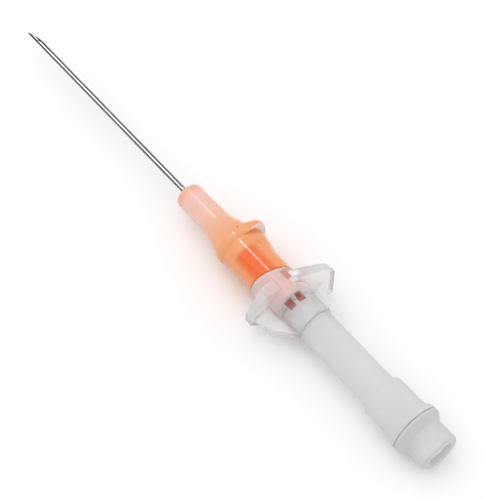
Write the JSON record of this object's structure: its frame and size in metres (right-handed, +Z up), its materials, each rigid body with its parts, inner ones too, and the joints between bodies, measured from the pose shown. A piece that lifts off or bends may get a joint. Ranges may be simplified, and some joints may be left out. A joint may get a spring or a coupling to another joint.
{
  "type": "iv cannula",
  "caption": "Over-the-needle intravenous cannula: catheter hub with push-off tab, finger guards, lancet needle, flash chamber and filter vent plug.",
  "frame": {"origin": "middle of the bounding box's base, on the surface that the cannula lies on", "axes": "+X along the cannula's axis from the needle's point towards the vent plug, +Y to the side that the push-off tab points to as the cannula lies on its side, +Z up"},
  "size_m": [0.106, 0.0152, 0.0087],
  "materials": {
    "steel": "bright drawn stainless steel",
    "clear_plastic": "clear moulded, glossy",
    "adhesive": "cured clear adhesive",
    "catheter_polymer": "thin clear soft polymer",
    "orange_plastic": "translucent orange moulded, glossy",
    "frosted_plastic": "milky translucent moulded",
    "filter": "white porous"
  },
  "bodies": {
    "needle_set": {"needle": "steel", "needle_hub": "clear_plastic", "needle_adhesive": "adhesive", "flash_chamber": "clear_plastic"},
    "catheter": {"catheter_tube": "catheter_polymer", "catheter_eyelet": "steel", "catheter_hub": "orange_plastic"},
    "vent": {"vent_plug": "frosted_plastic", "vent_filter": "filter"}
  },
  "joints": [
    {"name": "catheter_slide", "type": "slide", "parent": "needle_set", "child": "catheter", "axis": [-1, 0, 0], "range_m": [0, 0.078]},
    {"name": "vent_plug_pull", "type": "slide", "parent": "needle_set", "child": "vent", "axis": [1, 0, 0], "range_m": [0, 0.009]}
  ]
}
